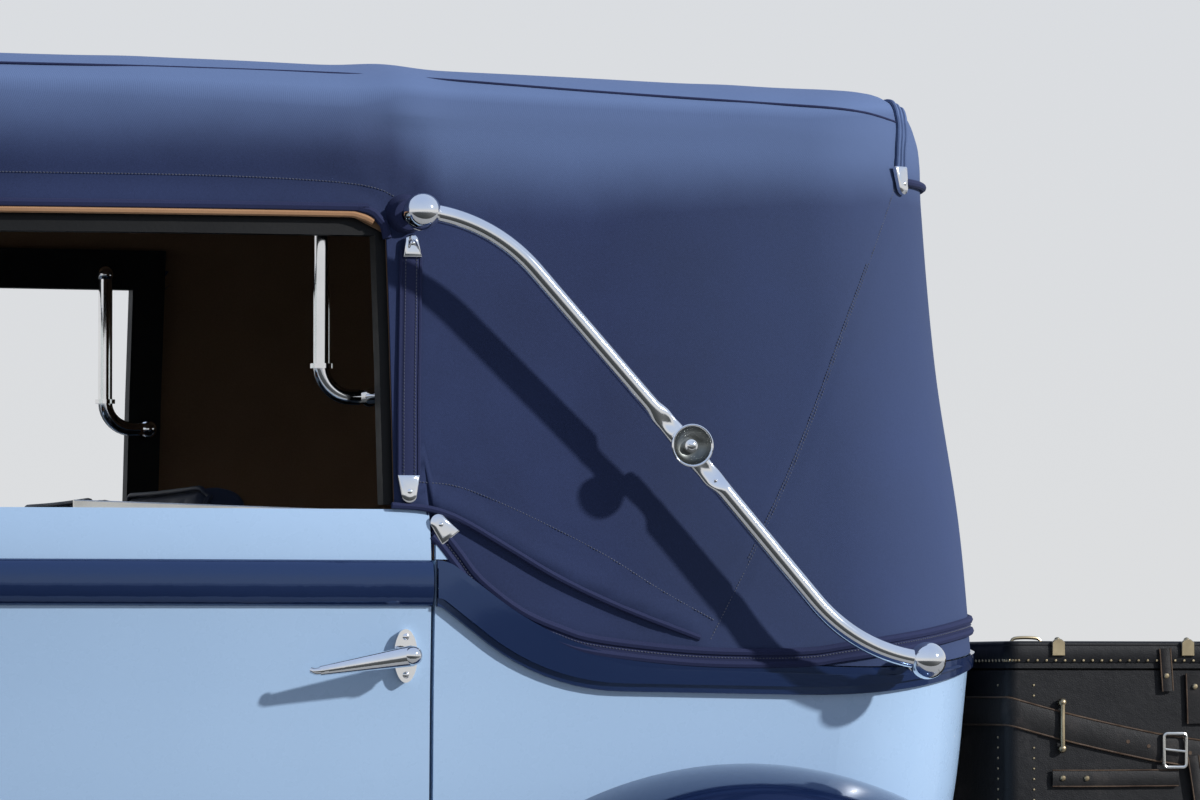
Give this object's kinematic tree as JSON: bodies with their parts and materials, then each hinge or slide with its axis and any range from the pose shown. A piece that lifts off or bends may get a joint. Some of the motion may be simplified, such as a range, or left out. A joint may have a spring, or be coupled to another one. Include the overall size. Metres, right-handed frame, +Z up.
{
  "type": "vintage cabriolet",
  "caption": "Two-door vintage cabriolet with a raised fabric hood on landau irons, navy wings and belt moulding over light blue panels, and a strapped luggage trunk.",
  "frame": {"origin": "on the ground, under the middle of the overall length and width", "axes": "+X forward, +Y to the car's left, +Z up"},
  "size_m": [4.55, 1.744, 1.8042],
  "materials": {
    "body_blue": "gloss",
    "trim_navy": "gloss",
    "wheel_paint": "gloss",
    "chassis_black": "satin",
    "hood_black": "satin",
    "spring_steel": "matte",
    "cast_iron": "matte",
    "chrome": "polished",
    "glass": "clear",
    "wood": "gloss",
    "leather_navy": "satin",
    "trunk_leather": "worn",
    "rubber_black": "ribbed",
    "tyre": "matte",
    "hood_fabric": "matte"
  },
  "bodies": {
    "car": {"chassis_frame": "chassis_black", "front_axle": "chassis_black", "rear_axle": "chassis_black", "leaf_springs": "spring_steel", "engine_block": "cast_iron", "exhaust": "spring_steel", "fuel_tank": "chassis_black", "floor_and_sills": "chassis_black", "body_tub": "body_blue", "scuttle": "body_blue", "belt_moulding": "trim_navy", "windscreen_frame": "chrome", "glazing": "glass", "dashboard": "wood", "steering_column": "chassis_black", "seat_bases": "leather_navy", "seat_cushions": "leather_navy", "seat_backs": "leather_navy", "radiator_shell": "chrome", "radiator_core": "chrome", "bonnet_sides": "body_blue", "headlamps": "chrome", "headlamp_lenses": "glass", "front_wings": "trim_navy", "rear_wings": "trim_navy", "running_boards": "rubber_black", "bumpers": "chrome", "tail_lamps": "chrome", "hood_canopy": "hood_fabric", "hood_frame": "hood_black", "hood_posts": "hood_black", "hood_bows": "hood_black", "hood_grips": "chrome", "landau_irons": "chrome", "landau_cups": "chrome", "trunk_body": "trunk_leather", "trunk_straps": "trunk_leather", "luggage_rack": "chassis_black"},
    "door_left": {"door_left": "body_blue", "door_moulding_left": "trim_navy", "door_handle_left": "chrome", "door_glass_left": "glass"},
    "door_right": {"door_right": "body_blue", "door_moulding_right": "trim_navy", "door_handle_right": "chrome", "door_glass_right": "glass"},
    "bonnet_left": {"bonnet_left": "body_blue"},
    "bonnet_right": {"bonnet_right": "body_blue"},
    "knuckle_left": {"knuckle_left": "chassis_black"},
    "knuckle_right": {"knuckle_right": "chassis_black"},
    "steering_wheel": {"steering_wheel": "hood_black"},
    "trunk_lid": {"trunk_lid": "trunk_leather"},
    "wheel_front_left": {"wheel_front_left": "wheel_paint", "tyre_front_left": "tyre"},
    "wheel_front_right": {"wheel_front_right": "wheel_paint", "tyre_front_right": "tyre"},
    "wheel_rear_left": {"wheel_rear_left": "wheel_paint", "tyre_rear_left": "tyre"},
    "wheel_rear_right": {"wheel_rear_right": "wheel_paint", "tyre_rear_right": "tyre"}
  },
  "joints": [
    {"name": "door_left_hinge", "type": "hinge", "parent": "car", "child": "door_left", "pos_m": [0.185, 0.59, 0.87], "axis": [0, 0, -1], "range_deg": [0, 62]},
    {"name": "door_right_hinge", "type": "hinge", "parent": "car", "child": "door_right", "pos_m": [0.185, -0.59, 0.87], "axis": [0, 0, 1], "range_deg": [0, 62]},
    {"name": "bonnet_left_hinge", "type": "hinge", "parent": "car", "child": "bonnet_left", "pos_m": [0.622, 0, 1.19], "axis": [0.9991, 0, -0.0421], "range_deg": [0, 50]},
    {"name": "bonnet_right_hinge", "type": "hinge", "parent": "car", "child": "bonnet_right", "pos_m": [0.622, 0, 1.19], "axis": [-0.9991, 0, 0.0421], "range_deg": [0, 50]},
    {"name": "trunk_lid_hinge", "type": "hinge", "parent": "car", "child": "trunk_lid", "pos_m": [-1.775, 0, 1.052], "axis": [0, 1, 0], "range_deg": [0, 75]},
    {"name": "steer_left", "type": "hinge", "parent": "car", "child": "knuckle_left", "pos_m": [1.675, 0.58, 0.38], "axis": [0, 0, 1], "range_deg": [-27, 27]},
    {"name": "steer_right", "type": "hinge", "parent": "car", "child": "knuckle_right", "pos_m": [1.675, -0.58, 0.38], "axis": [0, 0, 1], "range_deg": [-27, 27]},
    {"name": "steering_wheel_turn", "type": "hinge", "parent": "car", "child": "steering_wheel", "pos_m": [0.02, 0.33, 1.06], "axis": [-0.8192, 0, 0.5736], "range_deg": [-378, 378]},
    {"name": "wheel_front_left_spin", "type": "hinge", "parent": "knuckle_left", "child": "wheel_front_left", "pos_m": [1.675, 0.7, 0.38], "axis": [0, 1, 0], "continuous": true},
    {"name": "wheel_front_right_spin", "type": "hinge", "parent": "knuckle_right", "child": "wheel_front_right", "pos_m": [1.675, -0.7, 0.38], "axis": [0, 1, 0], "continuous": true},
    {"name": "wheel_rear_left_spin", "type": "hinge", "parent": "car", "child": "wheel_rear_left", "pos_m": [-1.325, 0.7, 0.38], "axis": [0, 1, 0], "continuous": true},
    {"name": "wheel_rear_right_spin", "type": "hinge", "parent": "car", "child": "wheel_rear_right", "pos_m": [-1.325, -0.7, 0.38], "axis": [0, 1, 0], "continuous": true}
  ],
  "couplings": [
    {"joint": "steer_right", "follows": "steer_left", "ratio": 1},
    {"joint": "steering_wheel_turn", "follows": "steer_left", "ratio": 14}
  ]
}
